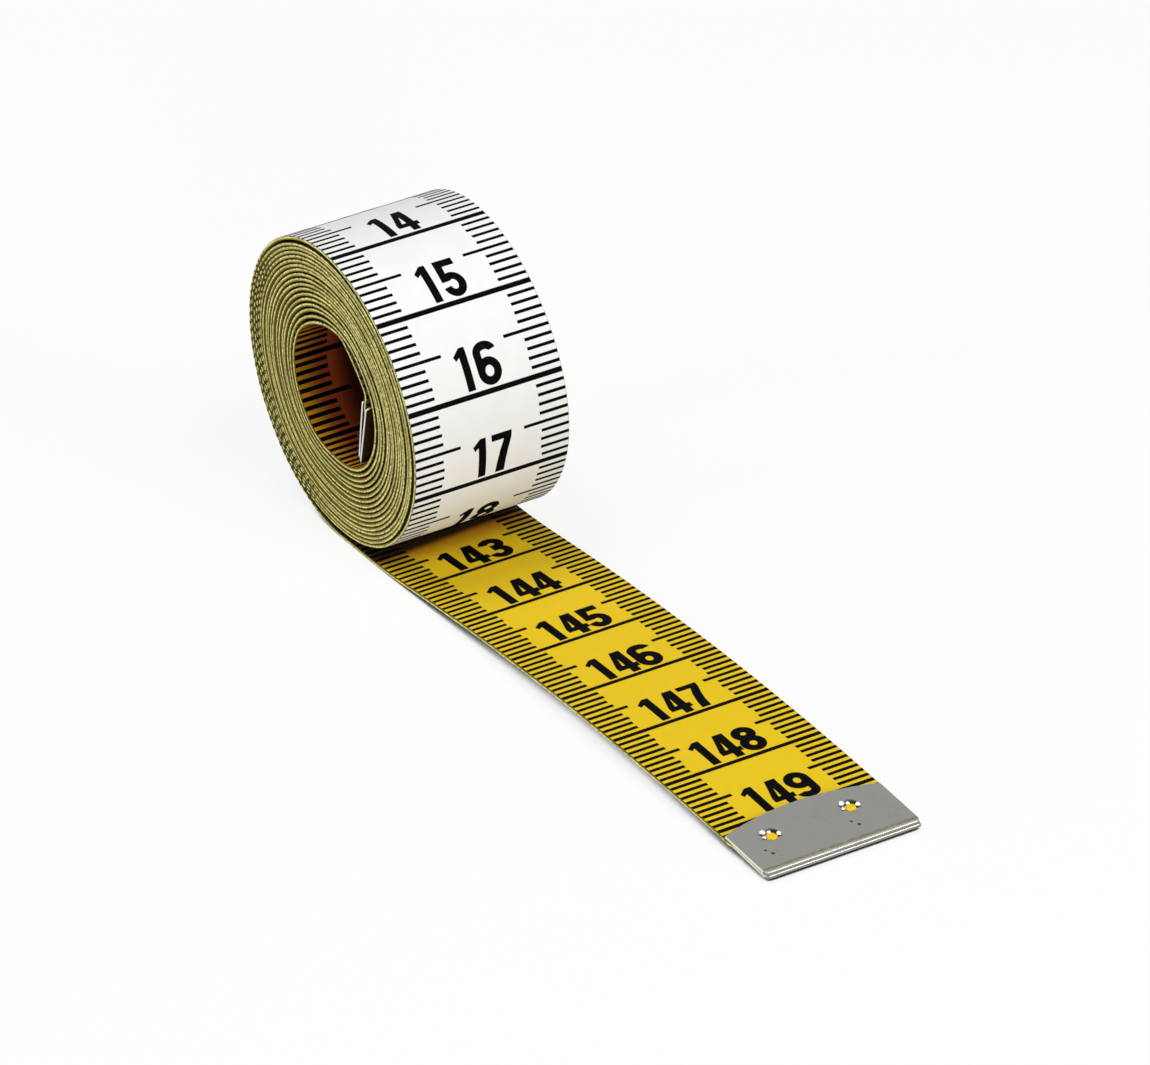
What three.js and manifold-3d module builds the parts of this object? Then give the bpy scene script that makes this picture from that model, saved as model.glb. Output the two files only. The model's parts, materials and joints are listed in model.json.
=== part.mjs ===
import * as THREE from 'three';
import { mergeVertices } from 'three/addons/utils/BufferGeometryUtils.js';
import Module from 'manifold-3d';

// A tailor's tape measure, wound into a roll that stands on its own outer end.
// Millimetres, +Z up. +X runs from the roll to the free tip, and Y is the roll's axis.
// The origin is on the table, under the middle of the whole object.

// Tape
const tapeWidth = 19;
const tapeThickness = 0.42;

// Roll
const coreRadius = 8.2;
const turns = 17.5;
const turnAir = 0.075;
// The wound turns are drawn thinner than the tape, so that they stay well clear of each other.
const woundThickness = 0.085;
const stepsPerTurn = 20;

// Free stretch, from the roll's axis to the tip. It lies flat for a foot, then arches to the tip.
const freeReach = 85.5;
const footLength = 12;
const tipLength = 13.5;
const sectionCount = 7;
const archHeight = 2.05;
const hingeGap = 0.3;

// Inner end, which bends off the innermost turn and runs straight into its clip, down to the core's wall
const tailBend = THREE.MathUtils.degToRad(94);
const tailMargin = 0.4;
const wallClearance = 0.3;
const tailSteps = 10;

// End clips, folded from sheet metal over each end of the tape
const clipInset = 0.1;
const clipLength = 8.6;
const clipBulge = 1;
const clipSheet = 0.25;
const clipClearance = 0.1;
const pierceRadius = 1.05;
const pierceSpacing = 9.8;
const pierceSetback = 6.7;
const pierceSides = 16;

// Finishes
const white = { color: 0xf3f2ec, roughness: 0.55, metalness: 0 };
const yellow = { color: 0xe9c21f, roughness: 0.5, metalness: 0 };
const clipMetal = { color: 0x92928d, roughness: 0.38, metalness: 1 };

// Worked out from the sizes above
const turnPitch = tapeThickness + turnAir;
const rollRadius = coreRadius + tapeThickness + turns * turnPitch;
const fullTurn = 2 * Math.PI;
const clipWidth = tapeWidth - 2 * clipInset;
const clipHalf = tapeThickness / 2 + clipClearance + clipSheet;
const tapeSetback = clipHalf + clipClearance;
const archSpan = freeReach - footLength;
const sectionSpan = (archSpan - tipLength) / (sectionCount - 1);
const tipRise = clipSheet + clipClearance;
const tailStraight = clipLength + clipBulge + tailMargin;
const tailRadius = tailBendRadius();

const wasm = await Module();
wasm.setup();

function namedMesh(name, geometry, finish) {
  const mesh = new THREE.Mesh(geometry, new THREE.MeshStandardMaterial(finish));
  mesh.name = name;
  return mesh;
}

function toSolid(geometry) {
  const bare = geometry.clone();
  bare.deleteAttribute('normal');
  bare.deleteAttribute('uv');
  const merged = mergeVertices(bare, 1e-5);
  return new wasm.Manifold(new wasm.Mesh({
    numProp: 3,
    vertProperties: new Float32Array(merged.attributes.position.array),
    triVerts: new Uint32Array(merged.index.array),
  }));
}

function toGeometry(solid) {
  const mesh = solid.getMesh();
  const geometry = new THREE.BufferGeometry();
  geometry.setAttribute('position', new THREE.BufferAttribute(new Float32Array(mesh.vertProperties), 3));
  geometry.setIndex(new THREE.BufferAttribute(new Uint32Array(mesh.triVerts), 1));
  return geometry;
}

// A strip of the tape's width between two lines of points in the XZ plane.
// Seen from -Y, the inner line lies to the right of the outer line's direction of travel.
function stripGeometry(outer, inner) {
  const positions = [];
  for (let i = 0; i < outer.length; i += 1) {
    for (const point of [outer[i], inner[i]]) {
      positions.push(point.x, -tapeWidth / 2, point.y);
      positions.push(point.x, tapeWidth / 2, point.y);
    }
  }
  const ring = [0, 1, 3, 2];
  const index = [0, 1, 3, 0, 3, 2];
  for (let i = 0; i < outer.length - 1; i += 1) {
    for (let side = 0; side < ring.length; side += 1) {
      const a = 4 * i + ring[side];
      const b = 4 * i + ring[(side + 1) % ring.length];
      index.push(a, a + 4, b + 4, a, b + 4, b);
    }
  }
  const last = 4 * (outer.length - 1);
  index.push(last, last + 3, last + 1, last, last + 2, last + 3);
  const geometry = new THREE.BufferGeometry();
  geometry.setAttribute('position', new THREE.Float32BufferAttribute(positions, 3));
  geometry.setIndex(index);
  return geometry;
}

// A point of the roll at an angle from its lowest point, round the back, the top and the front
function rollPoint(angle, depth) {
  const radius = rollRadius - turnPitch * angle / fullTurn - depth;
  return new THREE.Vector2(-radius * Math.sin(angle), rollRadius - radius * Math.cos(angle));
}

// The foot and the wound turns as two lines of points, on the strip's outer and inner faces
function rollLines() {
  const endAngle = turns * fullTurn;
  const endRadius = coreRadius + tapeThickness;
  const steps = Math.round(turns * stepsPerTurn);
  const footEnd = footLength - hingeGap / 2;
  const outer = [new THREE.Vector2(footEnd, 0)];
  const inner = [new THREE.Vector2(footEnd, woundThickness)];
  for (let step = 0; step <= steps; step += 1) {
    const gap = step === steps ? hingeGap / 2 / endRadius : 0;
    const angle = endAngle * step / steps - gap;
    outer.push(rollPoint(angle, 0));
    inner.push(rollPoint(angle, woundThickness));
  }
  return { outer, inner };
}

// The least distance from the inner face of any turn to the outer face of the turns within it
function leastTurnGap(outer, inner) {
  const line = new THREE.Line3();
  const point = new THREE.Vector3();
  const nearest = new THREE.Vector3();
  let least = Infinity;
  for (let i = 0; i < inner.length; i += 1) {
    point.set(inner[i].x, 0, inner[i].y);
    for (let j = i + stepsPerTurn / 2; j < outer.length - 1; j += 1) {
      line.start.set(outer[j].x, 0, outer[j].y);
      line.end.set(outer[j + 1].x, 0, outer[j + 1].y);
      line.closestPointToPoint(point, true, nearest);
      least = Math.min(least, nearest.distanceTo(point));
    }
  }
  return least;
}

function lineLength(points) {
  return points.slice(1).reduce((sum, point, i) => sum + point.distanceTo(points[i]), 0);
}

// The lower face of the free stretch, at a distance past the foot
function archPoint(reach) {
  const share = reach / archSpan;
  const height = tipRise * share + 4 * archHeight * share * (1 - share);
  return new THREE.Vector2(footLength + reach, height);
}

// The bend radius that brings the inner clip's fold to the core's wall, less its clearance.
// The bend starts at the end of the innermost turn, and the fold is at the end of the straight run.
function tailBendRadius() {
  const start = coreRadius + tapeThickness;
  const reach = coreRadius - clipHalf - wallClearance;
  const across = new THREE.Vector2(Math.sin(tailBend), Math.cos(tailBend) - 1);
  const run = new THREE.Vector2(Math.cos(tailBend), -Math.sin(tailBend)).multiplyScalar(tailStraight);
  const fold = new THREE.Vector2(run.x, start + run.y);
  const a = across.lengthSq();
  const b = across.dot(fold);
  const c = fold.lengthSq() - reach * reach;
  return (Math.sqrt(b * b - a * c) - b) / a;
}

// A clip with its fold at the origin, its legs along -X and its pierced leg on the +Z side
function clipGeometry() {
  const reach = clipLength + clipBulge;
  const slotHalf = clipHalf - clipSheet;
  const section = new THREE.Shape();
  section.moveTo(-reach, -clipHalf);
  section.absarc(-clipHalf, 0, clipHalf, -Math.PI / 2, Math.PI / 2, false);
  section.lineTo(-reach, clipHalf);
  section.lineTo(-reach, slotHalf);
  section.absarc(-clipHalf, 0, slotHalf, Math.PI / 2, -Math.PI / 2, true);
  section.lineTo(-reach, -slotHalf);
  const sheetSteps = { depth: clipWidth, bevelEnabled: false, curveSegments: 8 };
  const folded = new THREE.ExtrudeGeometry(section, sheetSteps);
  folded.rotateX(Math.PI / 2);
  folded.translate(0, clipWidth / 2, 0);

  // The plan's back edge bows towards the tape. The plan stands taller and wider than the folded sheet.
  const spare = clipHalf;
  const plan = new THREE.Shape();
  plan.moveTo(spare, -clipWidth / 2 - spare);
  plan.lineTo(spare, clipWidth / 2 + spare);
  plan.lineTo(-clipLength, clipWidth / 2 + spare);
  plan.lineTo(-clipLength, clipWidth / 2);
  plan.quadraticCurveTo(-clipLength - 2 * clipBulge, 0, -clipLength, -clipWidth / 2);
  plan.lineTo(-clipLength, -clipWidth / 2 - spare);
  const planSteps = { depth: 4 * clipHalf, bevelEnabled: false, curveSegments: 12 };
  const block = new THREE.ExtrudeGeometry(plan, planSteps);
  block.translate(0, 0, -2 * clipHalf);

  const punch = new THREE.CylinderGeometry(pierceRadius, pierceRadius, 2 * clipHalf, pierceSides);
  punch.rotateX(Math.PI / 2);
  punch.translate(-pierceSetback, 0, clipHalf);
  const left = toSolid(punch.clone().translate(0, -pierceSpacing / 2, 0));
  const right = toSolid(punch.clone().translate(0, pierceSpacing / 2, 0));
  return toGeometry(toSolid(folded).intersect(toSolid(block)).subtract(left).subtract(right));
}

// Roll: one unbroken strip from the foot to the innermost turn
const tape = new THREE.Group();
const roll = rollLines();
tape.add(namedMesh('tape_roll', stripGeometry(roll.outer, roll.inner), white));

// Free stretch: straight sections that hinge on each other along the arch
const hinges = [];
let freeLength = 0;
for (let i = 0; i < sectionCount; i += 1) {
  const isTip = i === sectionCount - 1;
  const start = archPoint(i * sectionSpan);
  const end = archPoint(isTip ? archSpan : (i + 1) * sectionSpan);
  const span = start.distanceTo(end);
  const length = span - hingeGap / 2 - (isTip ? tapeSetback : hingeGap / 2);
  const section = new THREE.Group();
  section.position.set(start.x, 0, start.y);
  section.rotation.y = -end.clone().sub(start).angle();
  const name = `tape_free_${i + 1}`;
  const strip = namedMesh(name, new THREE.BoxGeometry(length, tapeWidth, tapeThickness), yellow);
  strip.position.set(hingeGap / 2 + length / 2, 0, tapeThickness / 2);
  section.add(strip);
  if (isTip) {
    const clip = namedMesh('outer_end_clip', clipGeometry(), clipMetal);
    clip.position.set(span, 0, tapeThickness / 2);
    section.add(clip);
  }
  tape.add(section);
  freeLength += span;
  hinges.push([section, new THREE.Vector3(0, 0, tapeThickness / 2), name]);
}

// Inner end: a tighter bend off the innermost turn, then a straight run into its clip
const tailOuter = [];
const tailInner = [];
const tailGapAngle = hingeGap / 2 / tailRadius;
for (let step = 0; step <= tailSteps; step += 1) {
  const angle = tailGapAngle + (tailBend - tailGapAngle) * step / tailSteps;
  for (const [line, radius] of [[tailOuter, tailRadius], [tailInner, tailRadius - tapeThickness]]) {
    line.push(new THREE.Vector2(radius * Math.sin(angle), radius * Math.cos(angle) - tailRadius));
  }
}
const tailHeading = new THREE.Vector2(Math.cos(tailBend), -Math.sin(tailBend));
const tailRun = tailHeading.clone().multiplyScalar(tailStraight - tapeSetback);
for (const line of [tailOuter, tailInner]) {
  line.push(line[tailSteps].clone().add(tailRun));
}
const tail = new THREE.Group();
const tailStart = rollPoint(turns * fullTurn, 0);
tail.position.set(tailStart.x, 0, tailStart.y);
tail.rotation.y = turns * fullTurn + Math.PI;
tail.add(namedMesh('tape_inner_end', stripGeometry(tailOuter, tailInner), yellow));
const tailClip = namedMesh('inner_end_clip', clipGeometry(), clipMetal);
tailClip.position.set(tailStraight, 0, -tapeThickness / 2);
tailClip.rotation.x = Math.PI;
const tailRunGroup = new THREE.Group();
tailRunGroup.position.set(tailOuter[tailSteps].x, 0, tailOuter[tailSteps].y);
tailRunGroup.rotation.y = tailBend;
tailRunGroup.add(tailClip);
tail.add(tailRunGroup);
tape.add(tail);
hinges.push([tail, new THREE.Vector3(0, 0, -tapeThickness / 2), 'tape_inner_end']);

// The middle of the object goes over the origin, and its lowest face onto the table
tape.updateMatrixWorld(true);
const box = new THREE.Box3().setFromObject(tape, true);
const middle = box.getCenter(new THREE.Vector3());
tape.position.set(-middle.x, -middle.y, -box.min.z);
tape.updateMatrixWorld(true);

// What the sizes come to
const woundLength = lineLength(roll.outer) - turns * fullTurn * tapeThickness / 2;
const tapeLength = woundLength + freeLength + tailRadius * tailBend + tailStraight;
console.log('least gap between turns', leastTurnGap(roll.outer, roll.inner).toFixed(3));
console.log('roll axis', (-middle.x).toFixed(3), (rollRadius - box.min.z).toFixed(3));
console.log('roll radius', rollRadius.toFixed(3), 'tape length', tapeLength.toFixed(1));
for (const [frame, axisPoint, name] of hinges) {
  const point = frame.localToWorld(axisPoint.clone());
  console.log('hinge of', name, point.toArray().map((value) => value.toFixed(3)).join(' '));
}

export default tape;
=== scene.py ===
import json
import math
from bisect import bisect_right

import bmesh
import bpy
from mathutils import Matrix, Vector
from mathutils.geometry import tessellate_polygon


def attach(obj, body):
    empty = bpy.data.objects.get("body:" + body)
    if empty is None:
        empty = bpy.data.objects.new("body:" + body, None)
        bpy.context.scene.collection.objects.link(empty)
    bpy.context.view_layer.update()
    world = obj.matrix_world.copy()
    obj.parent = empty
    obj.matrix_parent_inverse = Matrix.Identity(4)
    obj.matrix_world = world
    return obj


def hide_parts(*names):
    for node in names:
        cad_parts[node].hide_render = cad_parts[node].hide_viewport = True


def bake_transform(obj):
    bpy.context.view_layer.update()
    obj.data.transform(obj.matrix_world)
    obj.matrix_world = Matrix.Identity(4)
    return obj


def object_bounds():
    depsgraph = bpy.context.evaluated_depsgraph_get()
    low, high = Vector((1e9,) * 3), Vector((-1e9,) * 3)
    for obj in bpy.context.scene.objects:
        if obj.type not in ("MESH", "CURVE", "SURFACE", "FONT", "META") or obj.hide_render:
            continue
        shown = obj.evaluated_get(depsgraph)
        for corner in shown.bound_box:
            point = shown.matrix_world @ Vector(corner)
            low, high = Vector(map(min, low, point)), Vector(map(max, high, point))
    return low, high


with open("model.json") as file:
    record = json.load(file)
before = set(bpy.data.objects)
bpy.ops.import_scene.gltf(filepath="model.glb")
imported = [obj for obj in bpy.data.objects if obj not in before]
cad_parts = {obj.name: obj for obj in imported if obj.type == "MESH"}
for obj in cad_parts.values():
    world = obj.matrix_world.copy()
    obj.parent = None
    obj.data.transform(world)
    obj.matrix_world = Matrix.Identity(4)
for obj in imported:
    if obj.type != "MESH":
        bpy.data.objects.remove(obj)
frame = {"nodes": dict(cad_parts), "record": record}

cadBox = [list(corner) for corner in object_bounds()]
mm = 0.001  # lengths below are in millimetres until a mesh is placed
print("frame loaded,", len(frame["nodes"]), "nodes")


# small helpers for node trees

class Wire:
    # a socket that takes part in sums: wire * 2 and 1 - wire add Math nodes
    def __init__(self, maker, socket):
        self.maker = maker
        self.socket = socket

    def __add__(self, other):
        return self.maker.math("ADD", self, other)

    def __radd__(self, other):
        return self.maker.math("ADD", other, self)

    def __sub__(self, other):
        return self.maker.math("SUBTRACT", self, other)

    def __rsub__(self, other):
        return self.maker.math("SUBTRACT", other, self)

    def __mul__(self, other):
        return self.maker.math("MULTIPLY", self, other)

    def __rmul__(self, other):
        return self.maker.math("MULTIPLY", other, self)

    def __truediv__(self, other):
        return self.maker.math("DIVIDE", self, other)

    def __abs__(self):
        return self.maker.math("ABSOLUTE", self)

    def also(self, name):
        return Wire(self.maker, self.socket.node.outputs[name])


class NodeMaker:
    def __init__(self, tree):
        self.tree = tree

    def node(self, kind, settings=None, values=None, out=0):
        made = self.tree.nodes.new(kind)
        for name, value in (settings or {}).items():
            if name == "stops":
                self.setStops(made.color_ramp, value)
            else:
                setattr(made, name, value)
        for name, value in (values or {}).items():
            if isinstance(value, Wire):
                self.tree.links.new(value.socket, made.inputs[name])
            else:
                made.inputs[name].default_value = value
        return Wire(self, made.outputs[out]) if len(made.outputs) else made

    def setStops(self, ramp, stops):
        while len(ramp.elements) < len(stops):
            ramp.elements.new(1)
        for element, (position, colour) in zip(ramp.elements, stops):
            element.position = position
            element.color = (*colour, 1)

    def math(self, operation, first, second=None):
        values = {0: first} if second is None else {0: first, 1: second}
        return self.node("ShaderNodeMath", {"operation": operation}, values)

    def ease(self, value, start, end):
        # 0 before start, 1 after end, smooth between; start may be the larger
        values = {"Value": value, "From Min": start, "From Max": end}
        return self.node("ShaderNodeMapRange", {"interpolation_type": "SMOOTHSTEP"}, values)

    def mixColour(self, share, first, second):
        values = {0: share, 6: first, 7: second}
        return self.node("ShaderNodeMix", {"data_type": "RGBA"}, values, out=2)

    def noise(self, where, scaleAndDetail):
        size, detail = scaleAndDetail
        return self.node("ShaderNodeTexNoise", {}, {"Vector": where, "Scale": size, "Detail": detail})

    def vector(self, x, y, z):
        return self.node("ShaderNodeCombineXYZ", {}, {"X": x, "Y": y, "Z": z})


def newFinish(name):
    finish = bpy.data.materials.new(name)
    finish.use_nodes = True
    shader = finish.node_tree.nodes["Principled BSDF"]
    return finish, shader, NodeMaker(finish.node_tree)


def plug(maker, shader, sockets):
    for name, value in sockets.items():
        if isinstance(value, Wire):
            maker.tree.links.new(value.socket, shader.inputs[name])
        else:
            shader.inputs[name].default_value = value


def newGroup(name, sockets):
    tree = bpy.data.node_groups.new(name, "GeometryNodeTree")
    ids = {}
    for label, kind in sockets.items():
        ids[label] = tree.interface.new_socket(label, in_out="INPUT", socket_type=kind).identifier
    tree.interface.new_socket("Mesh", in_out="OUTPUT", socket_type="NodeSocketGeometry")
    maker = NodeMaker(tree)
    return tree, ids, maker, maker.node("NodeGroupInput")


def closeGroup(maker, geometry, material):
    whole = maker.node("GeometryNodeRealizeInstances", {}, {"Geometry": geometry})
    shaded = maker.node("GeometryNodeSetMaterial", {}, {"Geometry": whole, "Material": material})
    maker.node("NodeGroupOutput", {}, {"Mesh": shaded})


def growMesh(tree, ids, values):
    holder = bpy.data.objects.new("holder", bpy.data.meshes.new("holder"))
    bpy.context.scene.collection.objects.link(holder)
    modifier = holder.modifiers.new("grow", "NODES")
    modifier.node_group = tree
    for label, value in values.items():
        modifier[ids[label]] = value
    graph = bpy.context.evaluated_depsgraph_get()
    grown = holder.evaluated_get(graph)
    mesh = bpy.data.meshes.new_from_object(grown, preserve_all_data_layers=True, depsgraph=graph)
    bpy.data.objects.remove(holder)
    return mesh


def addPiece(name, mesh):
    piece = bpy.data.objects.new(name, mesh)
    bpy.context.scene.collection.objects.link(piece)
    mesh.shade_smooth()
    mesh.set_sharp_from_angle(angle=math.radians(30))
    return piece


# the tape's side line: free stretch, foot, wound turns and inner end

tape = {
    "width": 19.0,
    "thickness": 0.42,
    "corner": 0.07,   # rounding of the cut edges
    "step": 0.5,      # between mesh rings along the tape
    "tipInset": 1.15,   # the outer clip's fold stops short of the scale's end
    "setback": 0.5,     # the tape's end behind the fold
    "recess": 0.024,    # how much narrower the tape is inside a clip
    "recessReach": 6.9,
}

stretch = {
    "tipX": cadBox[1][0] / mm,
    "rollX": frame["record"]["behaviour"]["joints"][-1]["pos_m"][0] / mm,
    "footFlat": 9.8,
    "easing": 0.06,   # share of the stretch over which it leaves the table
    "archHeight": 1.71,
    "tipRise": 0.5,
    "step": 0.25,     # between points of its line
    "lastGap": 0.1,   # before the first point of the roll
}

roll = {
    "radius": 17.085,
    "wide": 0.27,     # how the outer turn departs from a circle
    "lean": -0.725,
    "flat": -0.17,
    "back": 0.4,
    "swell": 0.12,    # gained by the outer turn before it dips under itself
    "jogStart": 0.717,
    "turns": 17.537,
    "air": 0.083,     # between turns, on average round the roll
    "airLow": 0.027,      # more of it under the core
    "airBack": 0.0436,    # and behind it
    "airLean": -0.0335,
    "airLeast": (0.01, 0.012),  # round the roll, and once the outer turns are tightened
    "loosen": 1.76,   # more of it in the inner turns
    "samples": 360,
    "standOffs": [    # middle and half width in turns from the table, extra air
        (0.0, 0.12, 0.45),
        (0.46, 0.19, 0.28),
        (0.79, 0.15, 0.28),
        (12.66, 0.22, 0.29),
        (15.43, 0.10, 0.10),
        (15.74, 0.20, 0.16),
        (16.45, 0.12, 0.10),
    ],
    "wander": 0.09,   # sideways drift of the turns
    "wanderFrom": 90,     # along the tape
    "wanderEasing": 60,
    "waves": [(23.7, 0, 1), (61.3, 1, 1), (9.1, 0, 0.3)],  # of that drift: length, shift and share
    "coreTurn": 62.0,     # length of the innermost turn, whose yellow face shows
}

tail = {              # the white face, from the roll's axis: along X and up
    "splitDeg": 40,   # the inner end's piece starts this far back on the last turn
    "leavePull": 0.8,
    "clipTop": (6.97, 2.95),
    "clipPull": 1.0,
    "clipFold": (5.36, -5.55),
    "bendSteps": 80,
    "clipSteps": 40,
}


def smooth(share):
    share = min(1, max(0, share))
    return share * share * (3 - 2 * share)


def outOfRound(angle):
    oval = roll["wide"] * math.sin(angle) ** 2 + roll["lean"] * math.sin(2 * angle)
    return oval + roll["flat"] * (1 - math.cos(angle)) + roll["back"] * math.sin(angle)


def airAt(turn):
    angle = turn * 2 * math.pi
    air = roll["air"] + roll["airLow"] * math.cos(angle) + roll["airBack"] * math.sin(angle)
    air = max(roll["airLeast"][0], air + roll["airLean"] * math.sin(2 * angle))
    air = max(roll["airLeast"][1], air * (1 + roll["loosen"] * (turn / roll["turns"] - 0.5)))
    for middle, half, extra in roll["standOffs"]:
        away = abs(turn - middle) / half
        if away < 1:
            air += extra * math.cos(away * math.pi / 2) ** 2
    return air


def freeHeight(x):
    footEnd = stretch["rollX"] + stretch["footFlat"]
    share = (x - footEnd) / (stretch["tipX"] - footEnd)
    if abs(share) < stretch["easing"]:
        share = (share + stretch["easing"]) ** 2 / (4 * stretch["easing"])
    share = max(0, share)
    return stretch["tipRise"] * share + 4 * stretch["archHeight"] * share * (1 - share)


def turnRadii():
    perTurn = roll["samples"]
    radii = []
    for i in range(int(roll["turns"] * perTurn) + 1):
        if i > perTurn:
            radii.append(radii[i - perTurn] - tape["thickness"] - airAt((i - perTurn) / perTurn))
            continue
        share = i / perTurn
        jog = smooth((share - roll["jogStart"]) / (1 - roll["jogStart"]))
        dip = (tape["thickness"] + airAt(0) + roll["swell"]) * jog - roll["swell"] * share
        radii.append(roll["radius"] + outOfRound(share * 2 * math.pi) - dip)
    return radii


def bendPoints(handles, count):
    points = []
    for i in range(1, count + 1):
        t = i / count
        weights = ((1 - t) ** 3, 3 * t * (1 - t) ** 2, 3 * t * t * (1 - t), t ** 3)
        points.append(sum((h * w for h, w in zip(handles, weights)), Vector((0, 0))))
    return points


def whiteLine():
    # the white face seen along the axis, from the tip to the inner end
    points = []
    x = stretch["tipX"]
    while x > stretch["rollX"] + stretch["lastGap"]:
        points.append(Vector((x, freeHeight(x))))
        x -= stretch["step"]
    axis = Vector((stretch["rollX"], roll["radius"]))
    for i, radius in enumerate(turnRadii()):
        angle = i * 2 * math.pi / roll["samples"]
        points.append(axis - radius * Vector((math.sin(angle), math.cos(angle))))
    split = len(points) - 1 - tail["splitDeg"]
    leave = points[-1]
    heading = (points[-1] - points[-2]).normalized()
    top = axis + Vector(tail["clipTop"])
    fold = axis + Vector(tail["clipFold"])
    down = (fold - top).normalized()
    handles = [leave, leave + heading * tail["leavePull"], top - down * tail["clipPull"], top]
    points += bendPoints(handles, tail["bendSteps"])
    points += [top.lerp(fold, (i + 1) / tail["clipSteps"]) for i in range(tail["clipSteps"])]
    return points, split


def middleLine():
    white, split = whiteLine()
    line = []
    place = 0
    for i, point in enumerate(white):
        along = white[min(len(white) - 1, i + 1)] - white[max(0, i - 1)]
        normal = Vector((along.y, -along.x)).normalized()  # towards the yellow face
        middle = point + normal * tape["thickness"] / 2
        if line:
            place += (middle - line[-1][1]).length
        line.append((place, middle, normal))
    return line, split


sideLine, splitIndex = middleLine()
sidePlaces = [place for place, _, _ in sideLine]
tapeEnd = sidePlaces[-1]
splitPlace = sidePlaces[splitIndex]
coreTurnStart = splitPlace - roll["coreTurn"]
print(f"tape length {tapeEnd:.1f} mm, inner end from {splitPlace:.1f} mm")


def wander(place):
    # sideways drift, none on the free stretch
    share = smooth((place - roll["wanderFrom"]) / roll["wanderEasing"])
    waves = sum(part * math.sin(place / length + shift) for length, shift, part in roll["waves"])
    return roll["wander"] * share * waves / 2


def windPoint(place, across, depth):
    # a point of the flat tape, depth from the middle towards yellow, to its place in metres
    covered = min(place - tape["tipInset"], tapeEnd - place)
    across *= 1 - tape["recess"] * smooth(tape["recessReach"] - covered)
    i = min(len(sideLine) - 2, max(0, bisect_right(sidePlaces, place) - 1))
    share = (place - sidePlaces[i]) / (sidePlaces[i + 1] - sidePlaces[i])
    middle = sideLine[i][1].lerp(sideLine[i + 1][1], share)
    normal = sideLine[i][2].lerp(sideLine[i + 1][2], share)
    point = middle + normal * depth
    return Vector((point.x, across + wander(place), point.y)) * mm


# finishes

tapeLook = {
    "white": (0.9, 0.897, 0.882, 1),
    "yellow": (0.82, 0.565, 0.014, 1),
    "shadeAmber": (0.63, 0.29, 0.014, 1),      # painted shade: the yellow darkened to amber in the core and next to the roll
    "coreDeepShade": (0.36, 0.062, 0.013, 1),  # painted shade, further in
    "coreShade": (0.045, 0.011, 0.003, 1),
    "coreReach": (9.4, 6.2, 5.6, 2.6),    # from the tape's middle line
    "coreDull": 0.32,                     # less gloss in there
    "between": (0.04, 0.024, 0.01, 1),    # painted shade on the faces between the turns and in front of the roll
    # painted shade on the yellow faces between the turns
    "betweenYellow": (0.34, 0.25, 0.045, 1),
    "innerEndShade": (0.16, 0.13, 0.09, 1),      # painted shade on the white face of the inner end
    "innerEndShadeEasing": 2,
    "coreEasing": 4,
    "coatChange": (0.45, 0.55),           # through the thickness, from white to yellow
    "cutBand": (0.09, 0.04),              # in from the sides, where the cut edge starts
    "outerTurn": (188, 198),              # along the tape, where the white face goes under and takes the painted shade
    # where the yellow turns to the painted-shade amber before the roll
    "foot": (74.8, 78.4),
    # the painted shadow, nearly black, in front of the roll
    "underRoll": (77.4, 78.8),
    "underSlant": 0.06,   # the painted shadow in front of the roll is wider towards -Y
    # where the yellow face of the wound turns takes painted shade
    "windingIn": (96, 110),
    "cutWhite": (1.0, 0.97, 0.42),        # on the cut edge
    "cutYellow": (0.5, 0.41, 0.03),
    # painted shade in the grooves between the turns, on the cut edge
    "groove": (0.05, 0.04, 0.01),
    "layers": [(0.0, "groove"), (0.1, "groove"), (0.22, "cutWhite"), (0.46, "cutWhite"),  # of the cut edge; the groove bands are painted shade between the turns
               (0.58, "cutYellow"), (0.74, "cutYellow"), (0.88, "groove")],
    "cloud": (0.4, 4.0),  # scale and detail of the noises
    "grain": (4.5, 2.0),
    "fleck": (1.9, 3.0),
    "streak": (1.0, 3.0),
    "dust": (0.2, 0.155, 0.065, 1),
    "dustShare": 0.7,
    "dustFlecks": (0.52, 0.66),
    "mottle": 0.07,
    "mottleMiddle": 0.55,
    "roughness": 0.5,
    "grainRough": 0.2,
    "cutRough": 0.25,
    "gloss": 0.1,
    "weave": 0.55,        # pitch of the cloth under the coat
    "weaveDepth": 0.006,
    "relief": {"weave": 0.5, "cloud": 1.5, "grain": 0.4, "cut": 6},
    "reliefStrength": 0.35,
    "ragged": 0.34,       # how far the layers of the cut edge run into each other
    "yarn": (0.22, 2.5),  # streaks on the cut edge, scaled along the tape and through it
    "grainTone": (0.15, 1.7),   # tone of the cut edge: least and range
    "streakTone": (0.1, 1.8),
    "stain": (0.012, 0.011, 0.01, 1),
    "inkStain": 0.23,     # half width of the ink on the cut edge
    "inkSoft": 0.06,
    "stainDepth": (0.42, 0.4, 0.25),  # through the thickness: middle, and where it ends and is full
    "stainGrain": (0.34, 0.44),
    "stainBack": (-0.035, -0.041),  # along X the stains come in, behind the core
    "stainTop": (0.0305, 0.0255),   # and not near the top
    "stainTurns": (690, 540),       # and they fade out along the tape
}


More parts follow.
